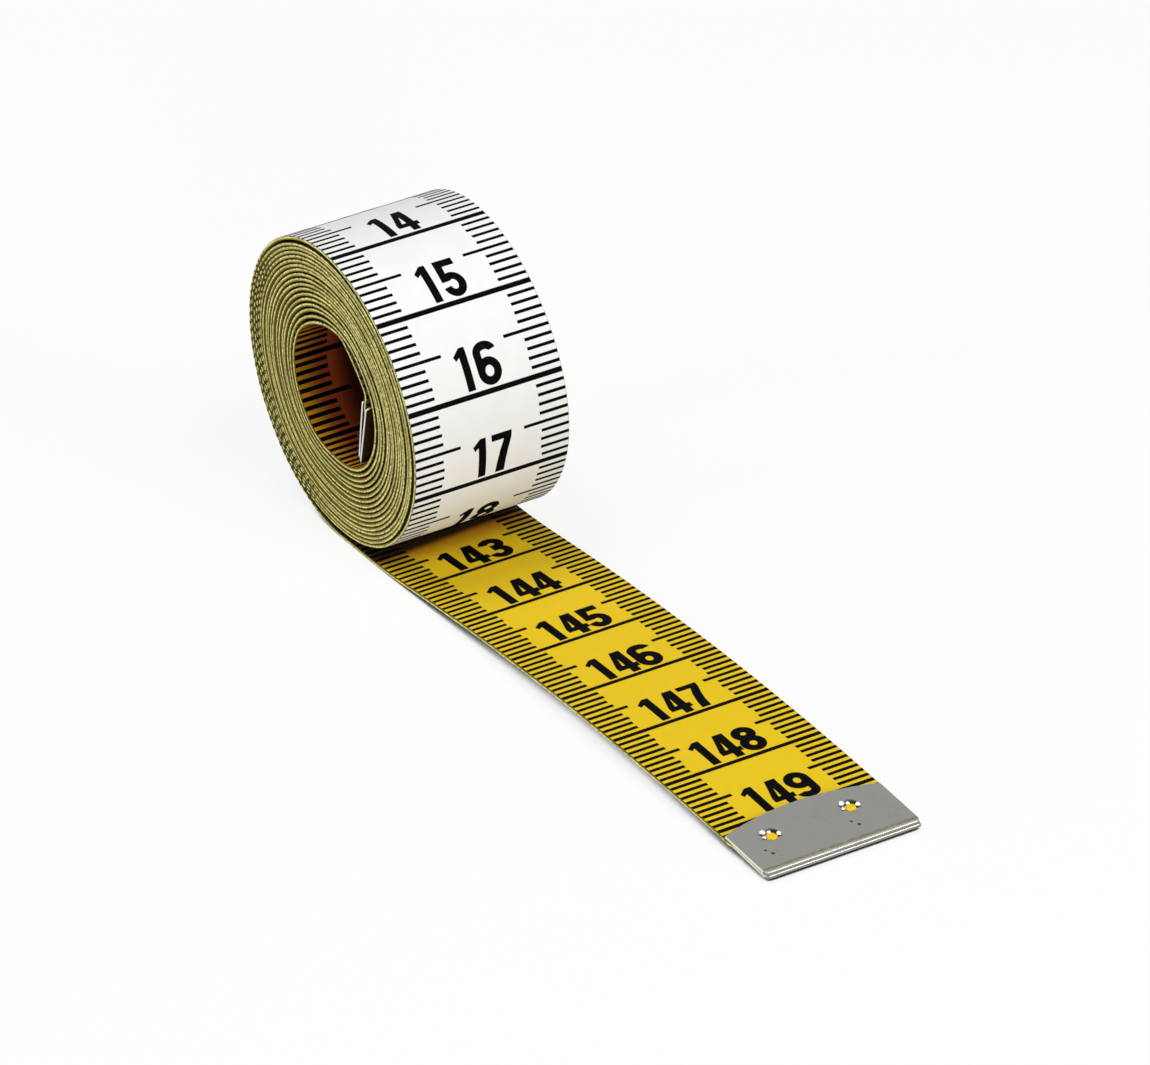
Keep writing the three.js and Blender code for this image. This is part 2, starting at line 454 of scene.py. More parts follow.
def faceColour(m, along, across, side, inCore):
    # white and yellow coats, with painted shade where the tape is wound, in the core and in front of the roll
    # painted shade on the white face where it is wound under
    shutIn = m.ease(along, *tapeLook["outerTurn"])
    white = m.mixColour(shutIn, tapeLook["white"], tapeLook["between"])
    # painted shade on the inner end's white face
    easing = tapeLook["innerEndShadeEasing"]
    white = m.mixColour(m.ease(along, splitPlace - easing, splitPlace + easing), white, tapeLook["innerEndShade"])
    # painted shade: the yellow turns amber next to the roll
    yellow = m.mixColour(m.ease(along, *tapeLook["foot"]), tapeLook["yellow"], tapeLook["shadeAmber"])
    # painted shadow, nearly black, in front of the roll
    nearRoll = along - across * tapeLook["underSlant"]
    yellow = m.mixColour(m.ease(nearRoll, *tapeLook["underRoll"]), yellow, tapeLook["between"])
    # painted shade on the yellow faces of the wound turns
    yellow = m.mixColour(m.ease(along, *tapeLook["windingIn"]), yellow, tapeLook["betweenYellow"])
    # painted shade in the core, deepest in the middle of the width
    reach = tapeLook["coreReach"]
    core = m.mixColour(m.ease(abs(across), reach[0], reach[1]), tapeLook["shadeAmber"], tapeLook["coreDeepShade"])
    core = m.mixColour(m.ease(abs(across), reach[2], reach[3]), core, tapeLook["coreShade"])
    yellow = m.mixColour(inCore, yellow, core)
    return m.mixColour(m.ease(side, *tapeLook["coatChange"]), white, yellow)


def tapeFinish():
    finish, shader, m = newFinish("coatedTape")
    place = m.node("ShaderNodeAttribute", {"attribute_name": "flatPlace"}, out="Vector")
    along = m.node("ShaderNodeSeparateXYZ", {}, {"Vector": place}, out="X")
    across, depth = along.also("Y"), along.also("Z")
    spot = m.node("ShaderNodeTexCoord", out="Object")
    objectX = m.node("ShaderNodeSeparateXYZ", {}, {"Vector": spot}, out="X")
    side = depth / tape["thickness"] + 0.5  # 0 on the white face, 1 on the yellow
    edge = m.ease(abs(across), *(tape["width"] / 2 - inset for inset in tapeLook["cutBand"]))
    cloud = m.noise(place, tapeLook["cloud"])
    grain = m.noise(place, tapeLook["grain"])
    fleck = m.noise(place, tapeLook["fleck"])
    shade = 1 + (cloud - tapeLook["mottleMiddle"]) * tapeLook["mottle"]
    inCore = m.ease(along, coreTurnStart, coreTurnStart + tapeLook["coreEasing"])
    coat = faceColour(m, along, across, side, inCore)
    coat = m.node("ShaderNodeHueSaturation", {}, {"Value": shade, "Color": coat})

    # the cut edge: yarn between two coats, frayed, dusty and stained with ink, with painted shade in the grooves
    # between turns
    stops = [(position, tapeLook[name]) for position, name in tapeLook["layers"]]
    cut = m.node("ShaderNodeValToRGB", {"stops": stops}, {"Fac": side + (grain - 0.5) * tapeLook["ragged"]})
    dusty = m.ease(fleck, *tapeLook["dustFlecks"]) * tapeLook["dustShare"]
    cut = m.mixColour(dusty, cut, tapeLook["dust"])
    yarn = m.vector(along * tapeLook["yarn"][0], 0, depth * tapeLook["yarn"][1])
    streak = m.noise(yarn, tapeLook["streak"])
    (grainLeast, grainRange), (streakLeast, streakRange) = tapeLook["grainTone"], tapeLook["streakTone"]
    worn = (grainLeast + grain * grainRange) * (streakLeast + streak * streakRange)
    cut = m.node("ShaderNodeHueSaturation", {}, {"Value": worn, "Color": cut})
    fromTick = abs(m.math("FRACT", along + 0.5) - 0.5)
    inkHalf, inkSoft = tapeLook["inkStain"], tapeLook["inkSoft"]
    stain = m.ease(fromTick, inkHalf + inkSoft, inkHalf - inkSoft)
    middle, ends, full = tapeLook["stainDepth"]
    stain = stain * m.ease(abs(side - middle), ends, full) * m.ease(objectX, *tapeLook["stainBack"])
    stain = stain * m.ease(along, *tapeLook["stainTurns"]) * m.ease(grain, *tapeLook["stainGrain"])
    stain = stain * m.ease(objectX.also("Z"), *tapeLook["stainTop"])
    cut = m.mixColour(stain, cut, tapeLook["stain"])
    coat = m.mixColour(edge, coat, cut)

    turnsPerMm = 2 * math.pi / tapeLook["weave"]
    weave = m.math("SINE", along * turnsPerMm) * m.math("SINE", across * turnsPerMm)
    relief = tapeLook["relief"]
    height = weave * relief["weave"] + cloud * relief["cloud"]
    height = height + grain * relief["grain"] + edge * grain * relief["cut"]
    bump = m.node("ShaderNodeBump", {}, {"Strength": tapeLook["reliefStrength"],
                                         "Distance": tapeLook["weaveDepth"] * mm, "Height": height})
    rough = tapeLook["roughness"] + (grain - 0.5) * tapeLook["grainRough"]
    rough = rough + edge * tapeLook["cutRough"] + inCore * tapeLook["coreDull"]
    plug(m, shader, {"Base Color": coat, "Roughness": rough, "Normal": bump, "IOR": 1.45,
                     "Specular IOR Level": tapeLook["gloss"]})
    return finish


inkLook = {
    "dark": (0.002, 0.002, 0.0024, 1),
    "worn": (0.009, 0.008, 0.007, 1),
    "blot": (1900.0, 3.0),
    "blotRange": (0.56, 0.74),
    "blotRough": 0.15,
    "roughness": 0.65,
    "gloss": 0.02,
}


def inkFinish():
    finish, shader, m = newFinish("scaleInk")
    spot = m.node("ShaderNodeTexCoord", out="Object")
    blot = m.noise(spot, inkLook["blot"])
    tone = m.mixColour(m.ease(blot, *inkLook["blotRange"]), inkLook["dark"], inkLook["worn"])
    plug(m, shader, {"Base Color": tone, "Roughness": inkLook["roughness"] + blot * inkLook["blotRough"],
                     "Specular IOR Level": inkLook["gloss"]})
    return finish


clipLook = {
    "metal": (0.272, 0.272, 0.25, 1),
    "tarnish": (0.18, 0.165, 0.13, 1),
    "foldStain": (0.17, 0.135, 0.08, 1),
    "torn": (0.74, 0.74, 0.72, 1),     # fresh metal round the piercings, brighter than it is: partly its own colour, partly a painted highlight
    # painted shade in the torn holes and the small dents
    "mark": (0.022, 0.018, 0.01, 1),
    "grain": (5200.0, 2.0),
    "cloud": (420.0, 4.0),
    "specks": (1500.0, 3.0),
    "tarnishCloud": (0.5, 0.8),
    "tarnishSpecks": (0.64, 0.74),
    "tarnishShares": (0.3, 0.45, 0.5),  # of clouds, specks and grain
    "foldFront": (-0.24, -0.38),        # the stain along the fold fades in and out here
    "foldBack": (-0.85, -0.5),
    "foldSpecks": (0.25, 0.55),
    "foldShare": 0.8,
    "roughness": 0.27,
    "rougher": {"grain": 0.14, "tarnish": 0.2, "fold": 0.1, "mark": 0.3},
    "relief": 0.01,
    "reliefStrength": 0.4,
    "reliefGrain": 0.6,
}


def clipFinish():
    # clipPlace holds the way out from the fold, the height, and the painted shade in the torn holes and dents
    finish, shader, m = newFinish("clipMetal")
    spot = m.node("ShaderNodeTexCoord", out="Object")
    place = m.node("ShaderNodeAttribute", {"attribute_name": "clipPlace"}, out="Vector")
    fromFold = m.node("ShaderNodeSeparateXYZ", {}, {"Vector": place}, out="X")
    grain = m.noise(spot, clipLook["grain"])
    cloud = m.noise(spot, clipLook["cloud"])
    specks = m.noise(spot, clipLook["specks"])
    shares = clipLook["tarnishShares"]
    tarnish = m.ease(cloud, *clipLook["tarnishCloud"]) * shares[0]
    tarnish = tarnish + m.ease(specks, *clipLook["tarnishSpecks"]) * shares[1] + (grain - 0.5) * shares[2]
    tone = m.mixColour(tarnish, clipLook["metal"], clipLook["tarnish"])
    along = m.ease(fromFold, *clipLook["foldBack"]) * m.ease(fromFold, *clipLook["foldFront"])
    stain = along * m.ease(specks, *clipLook["foldSpecks"]) * clipLook["foldShare"]
    tone = m.mixColour(stain, tone, clipLook["foldStain"])
    # bright torn metal on the raised lumps: partly fresh metal, partly a painted highlight
    torn = m.ease(fromFold.also("Y"), *(clip["half"] + rise for rise in clip["tornRise"]))
    tone = m.mixColour(torn, tone, clipLook["torn"])
    mark = fromFold.also("Z")
    tone = m.mixColour(mark, tone, clipLook["mark"])
    rougher = clipLook["rougher"]
    rough = clipLook["roughness"] + grain * rougher["grain"] + tarnish * rougher["tarnish"]
    rough = rough + along * rougher["fold"] + mark * rougher["mark"]
    bump = m.node("ShaderNodeBump", {}, {"Strength": clipLook["reliefStrength"], "Distance": clipLook["relief"] * mm,
                                         "Height": grain * clipLook["reliefGrain"] + cloud})
    plug(m, shader, {"Base Color": tone, "Metallic": 1.0, "Roughness": rough, "Normal": bump})
    return finish


tapeCoat = tapeFinish()
scaleInk = inkFinish()
print("tape finishes made")


# the strip, made flat and then wound

def stripGroup():
    sizes = {name: "NodeSocketFloat" for name in ("Start", "End", "Width", "Thickness", "Corner")}
    tree, ids, m, given = newGroup("tapeStrip", {**sizes, "Rings": "NodeSocketInt", "Material": "NodeSocketMaterial"})
    start, end = m.vector(given.also("Start"), 0, 0), m.vector(given.also("End"), 0, 0)
    line = m.node("GeometryNodeCurvePrimitiveLine", {}, {"Start": start, "End": end})
    line = m.node("GeometryNodeResampleCurve", {}, {"Curve": line, "Count": given.also("Rings")})
    sides = {"Width": given.also("Width"), "Height": given.also("Thickness")}
    outline = m.node("GeometryNodeCurvePrimitiveQuadrilateral", {}, sides)
    outline = m.node("GeometryNodeFilletCurve", {"mode": "POLY"}, {"Curve": outline, "Radius": given.also("Corner")})
    strip = m.node("GeometryNodeCurveToMesh", {}, {"Curve": line, "Profile Curve": outline, "Fill Caps": True})
    where = m.node("GeometryNodeInputPosition")
    named = {"Geometry": strip, "Name": "flatPlace", "Value": where}
    strip = m.node("GeometryNodeStoreNamedAttribute", {"data_type": "FLOAT_VECTOR", "domain": "POINT"}, named)
    closeGroup(m, strip, given.also("Material"))
    return tree, ids


stripTree, stripIds = stripGroup()


def stripMesh(fromPlace, toPlace):
    rings = round(abs(toPlace - fromPlace) / tape["step"]) + 1
    mesh = growMesh(stripTree, stripIds, {
        "Start": fromPlace, "End": toPlace, "Width": tape["width"], "Thickness": tape["thickness"],
        "Corner": tape["corner"], "Rings": rings, "Material": tapeCoat})
    for vertex in mesh.vertices:
        vertex.co = windPoint(*vertex.co)
    return mesh


def outward(mesh):
    shell = bmesh.new()
    shell.from_mesh(mesh)
    bmesh.ops.recalc_face_normals(shell, faces=shell.faces)
    shell.to_mesh(mesh)
    shell.free()


# the printed scale: marks from a node tree, numbers from outlines

scale = {
    "lastCm": 150,
    "cm": 10,
    "seeds": (3, 7),              # for the white and the yellow face
    "whiteTicks": (3.4, 5.55),    # lengths of a mm mark and of a half mark
    "yellowTicks": (3.65, 4.85),
    "coreTicks": (3.95, 6.0),     # the first centimetres of the yellow scale
    "whiteLines": (0.35, 0.58),   # of a mm mark and of a cm line
    "yellowLines": (0.47, 0.56),
    "coreLines": (0.5, 0.66),
    "ink": 0.016,         # thickness of the ink slab
    "sink": 0.004,        # of which this much lies in the coat
    "lengthSpread": 0.12,
    "digitHeight": 4.72,
    "digitFoot": 0.55,    # from the cm line to the numbers' feet
    "widths": {"1": 0.0, "4": 2.56, "5": 2.7, "7": 2.5},  # of a digit, a 1 follows its stroke
    "roundWidth": 2.82,   # of the others
    "whiteStroke": 0.9,
    "yellowStroke": 1.0,
    "coreStroke": 1.0,
    "gaps": {"1": 0.72, "4": 0.05},  # after a digit
    "gap": 0.36,
}


def tickGroup():
    sizes = {name: "NodeSocketFloat" for name in
             ("Width", "Tick", "Half tick", "Tick line", "Cm line", "Spread", "Ink", "Level")}
    whole = {name: "NodeSocketInt" for name in ("First", "Count", "Seed")}
    tree, ids, m, given = newGroup("scaleTicks", {**sizes, **whole, "Material": "NodeSocketMaterial"})
    first, width, level = given.also("First"), given.also("Width"), given.also("Level")
    spots = {"Count": given.also("Count"), "Start Location": m.vector(first, 0, level), "Offset": (1, 0, 0)}
    line = m.node("GeometryNodeMeshLine", {}, spots)
    number = m.node("GeometryNodeInputIndex") + first
    five = m.math("LESS_THAN", m.math("FLOORED_MODULO", number, 5), 0.5)
    ten = m.math("LESS_THAN", m.math("FLOORED_MODULO", number, 10), 0.5)
    limits = {2: -1 * given.also("Spread"), 3: given.also("Spread"), 8: given.also("Seed")}
    vary = m.node("FunctionNodeRandomValue", {"data_type": "FLOAT"}, limits, out=1)
    short = given.also("Tick") + (given.also("Half tick") - given.also("Tick")) * five + vary
    length = short + (width - short) * ten
    thick = given.also("Tick line") + (given.also("Cm line") - given.also("Tick line")) * ten
    size = m.vector(thick, length, given.also("Ink"))
    mark = m.node("GeometryNodeMeshCube")
    rows = []
    for sign in (-1, 1):
        shift = m.vector(0, sign * (width - length) / 2, 0)
        row = m.node("GeometryNodeSetPosition", {}, {"Geometry": line, "Offset": shift})
        marks = {"Points": row, "Instance": mark, "Scale": size}
        if sign > 0:
            marks["Selection"] = 1 - ten  # a cm line is one mark from edge to edge
        rows.append(m.node("GeometryNodeInstanceOnPoints", {}, marks))
    joined = m.node("GeometryNodeJoinGeometry", {}, {"Geometry": rows[0]})
    tree.links.new(rows[1].socket, joined.socket.node.inputs["Geometry"])
    closeGroup(m, joined, given.also("Material"))
    return tree, ids


tickTree, tickIds = tickGroup()


def arc(cx, cy, rx, ry, fromDeg, toDeg):
    count = max(2, round(abs(toDeg - fromDeg) / 15))
    angles = [math.radians(fromDeg + (toDeg - fromDeg) * i / count) for i in range(count + 1)]
    return [(cx + rx * math.cos(a), cy + ry * math.sin(a)) for a in angles]


def digitLoops(digit, w, t):
    # outline and holes of a digit one unit high, w wide, with strokes t
    r = w / 2
    n = r - t                         # inner half width
    upper, lower = 0.725, 0.305       # bowl middles of 3 and 8, which share a stroke
    sixBowl = 0.32
    if digit == "0":
        outer = arc(r, 1 - 0.25, r, 0.25, 0, 180) + arc(r, 0.25, r, 0.25, 180, 360)
        return [outer, arc(r, 1 - 0.25, n, 0.25 - t, 0, 180) + arc(r, 0.25, n, 0.25 - t, 180, 360)]
    if digit == "1":
        flag = 0.14
        return [[(flag, 0), (flag + t, 0), (flag + t, 1), (flag + 0.05, 1), (0, 0.83), (0.045, 0.72), (flag, 0.79)]]
    if digit == "2":
        top = arc(r, 0.74, r, 0.26, 172, -32)
        foot = [(t * 1.35, t), (w - 0.01, t), (w - 0.01, 0), (0, 0), (0, t * 0.9)]
        return [top + foot + arc(r, 0.74, n, 0.26 - t, -32, 172)]
    if digit == "3":
        outer = arc(r, upper, r, 1 - upper, 170, -45) + arc(r, lower, r, lower, 47, -170)
        inner = arc(r, lower, n, lower - t, -170, 90) + [(r * 0.72, lower * 2 - t), (r * 0.72, 2 * upper - 1 + t)]
        return [outer + inner + arc(r, upper, n, 1 - upper - t, -90, 170)]
    if digit == "4":
        stem = w * 0.84
        left, low, high = stem - t, 0.19, 0.19 + t * 0.8
        outer = [(left - 0.04, 1), (stem, 1), (stem, high), (w, high), (w, low), (stem, low), (stem, 0), (left, 0),
                 (left, low), (0, low), (0, high - 0.02)]
        return [outer, [(left, high), (left, 0.7), (t * 0.8, high)]]
    if digit == "5":
        bar = [(0.045, 1), (w - 0.035, 1), (w - 0.035, 1 - t * 0.95), (t + 0.035, 1 - t * 0.95)]
        bowl = arc(r, sixBowl, r, sixBowl, 106, -170) + arc(r, sixBowl, n, sixBowl - t, -170, 128)
        return [bar + bowl + [(0.025, 0.42)]]
    if digit in "69":
        meet = 180 - math.degrees(math.acos((r - t) / r))
        outer = arc(r, 0.75, r, 0.25, 12, 180) + arc(r, sixBowl, r, sixBowl, 180, 360 + meet)
        loops = [outer + arc(r, 0.75, n, 0.25 - t, 180, 12), arc(r, sixBowl, n, sixBowl - t, 0, 360)[:-1]]
        return loops if digit == "6" else [[(w - x, 1 - y) for x, y in loop] for loop in loops]
    if digit == "7":
        outside = [(1.0, 1), (0.97, 0.84), (0.81, 0.58), (0.69, 0.3), (0.63, 0)]
        inside = [(0.2, 0), (0.27, 0.28), (0.41, 0.58), (0.6, 0.84)]
        return [[(x * w, y) for x, y in [(0, 1)] + outside + inside + [(0, 0.84)]]]
    waist = arc(r, upper, r * 0.94, 1 - upper, 225, -45) + arc(r, lower, r, lower, 50, -230)
    upperHole = arc(r, upper, r * 0.94 - t, 1 - upper - t, 0, 360)[:-1]
    return [waist, upperHole, arc(r, lower, n, lower - t, 0, 360)[:-1]]


def addSlab(shell, loops, toFlat, low, high):
    # a flat outline with holes becomes a closed slab of ink
    points = [toFlat(x, y) for loop in loops for x, y in loop]
    floor = [shell.verts.new((s, y, low)) for s, y in points]
    roof = [shell.verts.new((s, y, high)) for s, y in points]
    for face in tessellate_polygon([[Vector((x, y, 0)) for x, y in loop] for loop in loops]):
        shell.faces.new([floor[i] for i in face])
        shell.faces.new([roof[i] for i in reversed(face)])
    first = 0
    for loop in loops:
        for i in range(len(loop)):
            a, b = first + i, first + (i + 1) % len(loop)
            shell.faces.new([floor[a], floor[b], roof[b], roof[a]])
        first += len(loop)


def addNumber(shell, text, linePlace, up, stroke, low, high):
    # up is the way the numbers' tops point along the tape
    tall = scale["digitHeight"]
    t = stroke / tall
    widths = [max(0.14 + t, scale["widths"].get(digit, scale["roundWidth"]) / tall) for digit in text]
    gaps = [scale["gaps"].get(digit, scale["gap"]) for digit in text]
    left = -(sum(widths) * tall + sum(gaps[:-1])) / 2
    for digit, w, gap in zip(text, widths, gaps):
        def toFlat(x, y, left=left):
            return linePlace + up * (scale["digitFoot"] + y * tall), left + x * tall
        addSlab(shell, digitLoops(digit, w, t), toFlat, low, high)
        left += w * tall + gap


def cutAt(shell, place, keep=0):
    # keep -1 or 1 drops the other side and closes the cut
    geometry = shell.verts[:] + shell.edges[:] + shell.faces[:]
    cut = bmesh.ops.bisect_plane(shell, geom=geometry, dist=1e-5, plane_co=(place, 0, 0), plane_no=(1, 0, 0),
                                 clear_outer=keep < 0, clear_inner=keep > 0)
    if keep:
        rim = [e for e in cut["geom_cut"] if isinstance(e, bmesh.types.BMEdge) and e.is_boundary]
        bmesh.ops.holes_fill(shell, edges=rim)


def printOnFace(shell, fromPlace, toPlace, yellow):
    # marks and numbers of one face between two places
    half = tape["thickness"] / 2
    top, sunk = half + scale["ink"] - scale["sink"], half - scale["sink"]
    low, high = (sunk, top) if yellow else (-top, -sunk)
    first = math.ceil(fromPlace)
    style = "white" if not yellow else "yellow" if fromPlace < coreTurnStart else "core"
    tick, halfTick = scale[style + "Ticks"]
    tickLine, cmLine = scale[style + "Lines"]
    marks = growMesh(tickTree, tickIds, {
        "Width": tape["width"] - 2 * tape["corner"], "Tick": tick, "Half tick": halfTick,
        "Tick line": tickLine, "Cm line": cmLine, "Spread": scale["lengthSpread"],
        "Ink": scale["ink"], "Level": (low + high) / 2, "First": first,
        "Count": math.floor(toPlace) - first + 1, "Seed": scale["seeds"][yellow], "Material": scaleInk})
    page = bmesh.new()
    page.from_mesh(marks)
    up = 1 if yellow else -1
    reach = scale["digitFoot"] + scale["digitHeight"]
    for number in range(1, scale["lastCm"]):
        linePlace = number * scale["cm"]
        feet, tops = sorted((linePlace + up * scale["digitFoot"], linePlace + up * reach))
        if tops > fromPlace and feet < toPlace:
            text = str(scale["lastCm"] - number if yellow else number)
            addNumber(page, text, linePlace, up, scale[style + "Stroke"], low, high)
    cutAt(page, fromPlace, 1)
    cutAt(page, toPlace, -1)
    place = math.ceil(fromPlace / tape["step"]) * tape["step"]
    while place < toPlace:
        cutAt(page, place)
        place += tape["step"]
    for vertex in page.verts:
        vertex.co = windPoint(*vertex.co)
    printed = bpy.data.meshes.new("printed")
    page.to_mesh(printed)
    page.free()
    shell.from_mesh(printed)
    bpy.data.meshes.remove(printed)
    bpy.data.meshes.remove(marks)


def printMesh(runs):
    shell = bmesh.new()
    for fromPlace, toPlace, yellow in runs:
        printOnFace(shell, fromPlace, toPlace, yellow)
    bmesh.ops.recalc_face_normals(shell, faces=shell.faces)
    mesh = bpy.data.meshes.new("print")
    shell.to_mesh(mesh)
    shell.free()
    mesh.materials.append(scaleInk)
    return mesh


# tape pieces: the roll, seven lengths of the free stretch, the inner end

joins = {"first": 78.5, "length": 10.0, "count": 7, "tipBlend": 10.2, "endTurn": 3.0}


def tapePiece(name, fromPlace, toPlace, node, printRuns):
    piece = addPiece(name, stripMesh(fromPlace, toPlace))
    outward(piece.data)
    ink = addPiece(name + "Print", printMesh(printRuns))
    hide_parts(node)
    flat = (tape["width"] * mm, round(abs(toPlace - fromPlace) * mm, 4))
    return piece, ink


outerTurnEnd = 200.0
footPrintEnd = 86.0
rollRuns = [(joins["first"], outerTurnEnd, False), (joins["first"], footPrintEnd, True),
            (coreTurnStart, splitPlace, True)]
for piece in tapePiece("tapeRoll", joins["first"], splitPlace, "tape_roll", rollRuns):
    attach(piece, "roll")
print("roll wound")

for k in range(1, joins["count"] + 1):
    rollEnd = joins["first"] - joins["length"] * (k - 1)
    tipEnd = rollEnd - joins["length"] if k < joins["count"] else tape["tipInset"] + tape["setback"]
    blendEnd = max(tipEnd, joins["tipBlend"])
    runs = [(tipEnd, rollEnd, True), (tipEnd, rollEnd, False)]
    pair = tapePiece(f"tapeFree{k}", tipEnd, rollEnd, f"tape_free_{k}", runs)
    for piece in pair:
        windPoint(rollEnd, 0, 0)
        windPoint(blendEnd, 0, 0)
        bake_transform(piece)
print("free stretch laid")

innerStop = tapeEnd - tape["setback"]
innerRuns = [(splitPlace, innerStop, True), (splitPlace, innerStop, False)]
for piece in tapePiece("tapeInnerEnd", splitPlace, innerStop, "tape_inner_end", innerRuns):
    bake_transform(piece)
print("inner end bent")


# end clips: a folded sheet, pierced twice through the tape

clip = {
    "width": 18.75,
    "aside": -0.12,        # of the outer clip, across the tape
    "length": 7.5,         # at the sides
    "bulge": 1.6,          # further back at the middle
    "half": 0.56,
    "sheet": 0.25,
    "crease": 0.17,        # the fold is pressed into two round edges with a crease between
    "corner": 0.4,         # rounding of the front corners, seen from above
    "slip": 0.38,          # how far the lower leg sits off to one side
    "pinch": 0.07,         # how much the back edges press on the tape
    "splay": 0.3,          # how far the inner clip's back is bent open
    "bevel": 0.04,
    "cell": 0.11,          # mesh size on the pierced leg
    "bendStep": 12,        # degrees between rows round the fold
    "lowerRows": 20,
    "pierced": [(-5.05, -5.35), (-5.3, 4.35)],  # where the tape's coat bulges through
    "boss": (0.62, 0.3),   # half width and height of that bulge
    "bossSink": 0.08,
    "bossSplay": 0.7,      # share of the splay at the bulges
    "bossLobes": 5,
    "hole": (-0.52, 0.46, 1.05, 0.3),           # beside it: centre, radius and depth of the torn hole
    "pits": [[(2.5, -1.42, 0.26, 0.12), (1.7, -1.81, 0.2, 0.08)],  # small dents in front of each
             [(2.87, -0.78, 0.26, 0.12), (2.08, -1.22, 0.2, 0.08)]],
    "curls": [(-0.86, -0.58, 0.34), (-0.61, 0.04, 0.25), (0.02, 0.86, 0.29), (-0.08, -0.84, 0.2)],
    "curlFlat": 0.8,
    "curlLift": 0.3,       # share of its radius
    "curlLobes": 3,
    "ragged": 0.08,        # of the lumps' outlines
    "tornRise": (0.03, 0.1),    # above the sheet, where the bright torn-metal colour, partly a painted highlight, begins and is full
    "sideBand": 0.01,      # the cut sides
    "dentShadeEdge": 2.2,       # how steeply the painted shade in a dent comes in
}


def legLength(y):
    return clip["length"] + clip["bulge"] * (1 - (2 * y / clip["width"]) ** 2)


def clipRows(splay):
    # each row gives a function of y: the folded sheet from one back edge to the other
    half, nose = clip["half"], clip["half"] / 2
    topRows = round(clip["length"] / clip["cell"])

    def leg(share, sign):
        def row(y):
            x = -nose - (legLength(y) - nose) * (1 - share)
            z = half - clip["pinch"] * (1 - share) ** 2 + splay * (1 - share)
            return Vector((x, y + (clip["slip"] if sign < 0 else 0), sign * z))
        return row

    def bend(angle, sign):
        def row(y):
            z = sign * (nose + nose * math.sin(angle))
            away = max(0, abs(y) - clip["width"] / 2 + clip["corner"])
            pull = clip["corner"] - math.sqrt(max(0, clip["corner"] ** 2 - away ** 2))
            if angle > 0:
                pull *= math.cos(angle)
            depth = nose if angle > 0 else clip["crease"]
            x = -depth * (1 - math.cos(angle)) - pull
            return Vector((x, y + clip["slip"] * smooth(0.5 - z / half / 2), z))
        return row

    turn = [math.radians(degrees) for degrees in range(90, -91, -clip["bendStep"])]
    rows = [leg(i / topRows, 1) for i in range(topRows)]
    rows += [bend(angle, 1) for angle in turn]
    rows += [bend(angle, -1) for angle in reversed(turn[:-1])]
    rows += [leg(1 - (i + 1) / clip["lowerRows"], -1) for i in range(clip["lowerRows"])]
    return rows, topRows


def dents():
    for (px, py), pits in zip(clip["pierced"], clip["pits"]):
        for x, y, radius, depth in [clip["hole"]] + pits:
            yield px + x, py + y, radius, depth


def pressed(x, y):
    # how deep the top leg is pressed at a place, at the torn holes and the small dents, and how much painted shade it
    # gets there
    drop, dark = 0, 0
    for cx, cy, radius, depth in dents():
        away = math.hypot(x - cx, y - cy) / radius
        if away < 1:
            drop = max(drop, depth * math.cos(away * math.pi / 2) ** 2)
            dark = max(dark, smooth((1 - away) * clip["dentShadeEdge"]))
    return drop, dark


def sheetMesh(splay):
    rows, topRows = clipRows(splay)
    columns = round(clip["width"] / clip["cell"])
    across = [clip["width"] * (j / columns - 0.5) for j in range(columns + 1)]
    shell = bmesh.new()
    grid = [[shell.verts.new(row(y)) for y in across] for row in rows]
    for i in range(len(rows) - 1):
        for j in range(columns):
            shell.faces.new([grid[i][j], grid[i + 1][j], grid[i + 1][j + 1], grid[i][j + 1]])
    for row in grid[:topRows]:
        for v in row:
            v.co.z -= pressed(v.co.x, v.co.y)[0]
    mesh = bpy.data.meshes.new("clipSheet")
    shell.to_mesh(mesh)
    shell.free()
    return mesh


def thicken(mesh, thickness, bevel):
    holder = bpy.data.objects.new("holder", mesh)
    bpy.context.scene.collection.objects.link(holder)
    wall = holder.modifiers.new("wall", "SOLIDIFY")
    wall.thickness = thickness
    wall.offset = -1
    soft = holder.modifiers.new("soft", "BEVEL")
    soft.width = bevel
    soft.segments = 2
    soft.limit_method = "ANGLE"
    soft.angle_limit = math.radians(50)
    graph = bpy.context.evaluated_depsgraph_get()
    solid = bpy.data.meshes.new_from_object(holder.evaluated_get(graph))
    bpy.data.objects.remove(holder)
    return solid


def addDome(shell, x, y, z, wide, tall, lobes):
    # a rounded lump with a torn outline
    for v in bmesh.ops.create_uvsphere(shell, u_segments=24, v_segments=14, radius=1)["verts"]:
        torn = 1 + clip["ragged"] * math.sin(lobes * math.atan2(v.co.y, v.co.x) + x + y) * (1 - v.co.z ** 2)
        v.co = Vector((x + v.co.x * wide * torn, y + v.co.y * wide * torn, z + v.co.z * tall))


